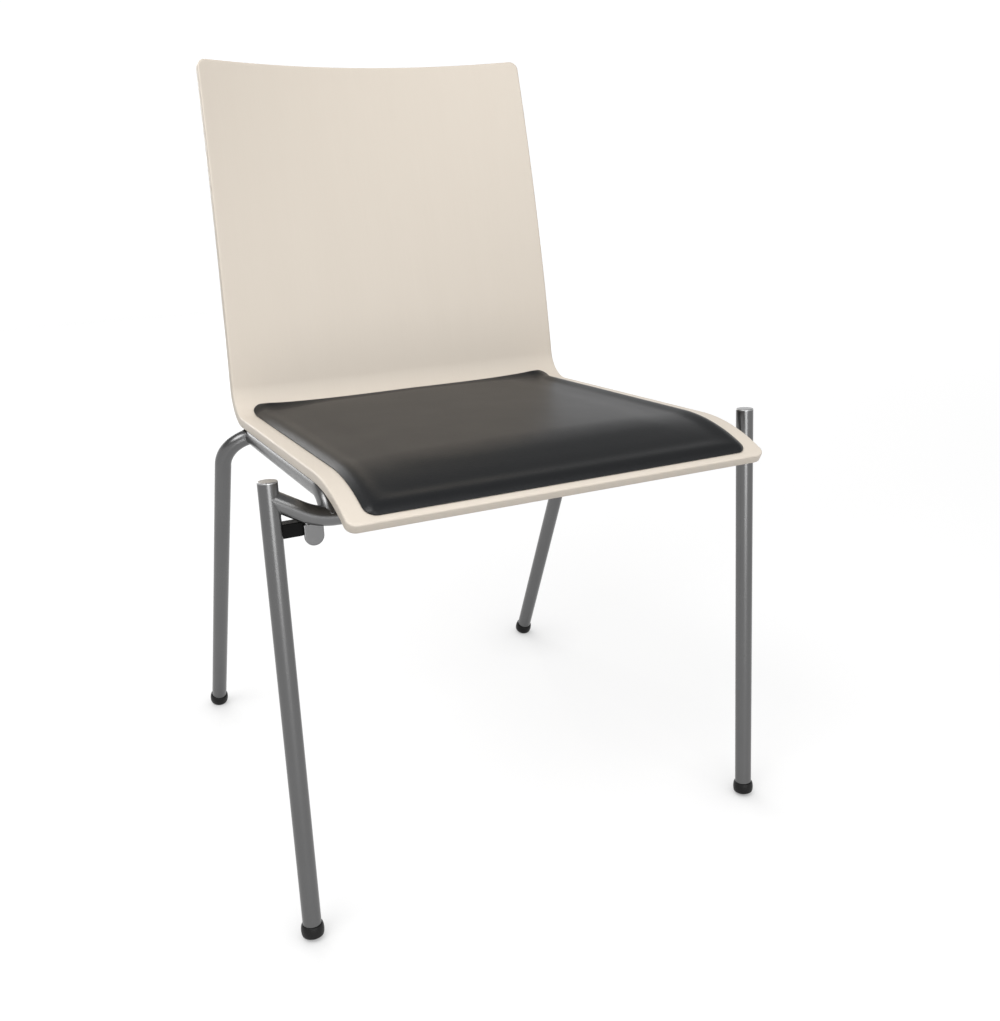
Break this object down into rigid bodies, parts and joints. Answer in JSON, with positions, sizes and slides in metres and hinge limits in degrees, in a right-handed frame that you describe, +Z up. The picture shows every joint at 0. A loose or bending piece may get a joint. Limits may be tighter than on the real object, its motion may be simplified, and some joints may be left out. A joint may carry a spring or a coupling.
{
  "type": "stacking chair",
  "caption": "Stacking chair with a bent steel tube frame, a one-piece moulded plywood seat and back, and a thin upholstered seat pad.",
  "frame": {"origin": "on the floor, under the centre of the chair's bounding box", "axes": "+Z up, +Y to the rear of the chair, +X to the right as seen from the front"},
  "size_m": [0.5378, 0.5262, 0.7936],
  "materials": {
    "plywood": "pale veneer, satin lacquer",
    "pad_cover": "dark grey fine-grained leather, satin",
    "pad_board": "raw hardboard",
    "frame_steel": "satin metal plating",
    "black_plastic": "satin black",
    "zinc_fasteners": "zinc plated"
  },
  "bodies": {
    "root": {"seat_shell": "plywood", "seat_pad": "pad_cover", "pad_board": "pad_board", "front_leg_left": "frame_steel", "front_leg_right": "frame_steel", "front_cross_tube": "frame_steel", "rear_leg_frame": "frame_steel", "side_rail_left": "frame_steel", "side_rail_right": "frame_steel", "front_leg_cap_left": "frame_steel", "front_leg_cap_right": "frame_steel", "link_lug": "frame_steel", "shell_bracket_1": "frame_steel", "shell_bracket_2": "frame_steel", "shell_bracket_3": "frame_steel", "shell_bracket_4": "frame_steel", "glide_front_left": "black_plastic", "glide_front_right": "black_plastic", "glide_rear_left": "black_plastic", "glide_rear_right": "black_plastic", "stack_buffer": "black_plastic", "shell_screw_1": "zinc_fasteners", "shell_screw_2": "zinc_fasteners", "shell_screw_3": "zinc_fasteners", "shell_screw_4": "zinc_fasteners", "shell_nut_1": "zinc_fasteners", "shell_nut_2": "zinc_fasteners", "shell_nut_3": "zinc_fasteners", "shell_nut_4": "zinc_fasteners", "pad_screw_1": "zinc_fasteners", "pad_screw_2": "zinc_fasteners", "pad_screw_3": "zinc_fasteners", "pad_screw_4": "zinc_fasteners", "buffer_screw": "zinc_fasteners"}
  },
  "joints": []
}
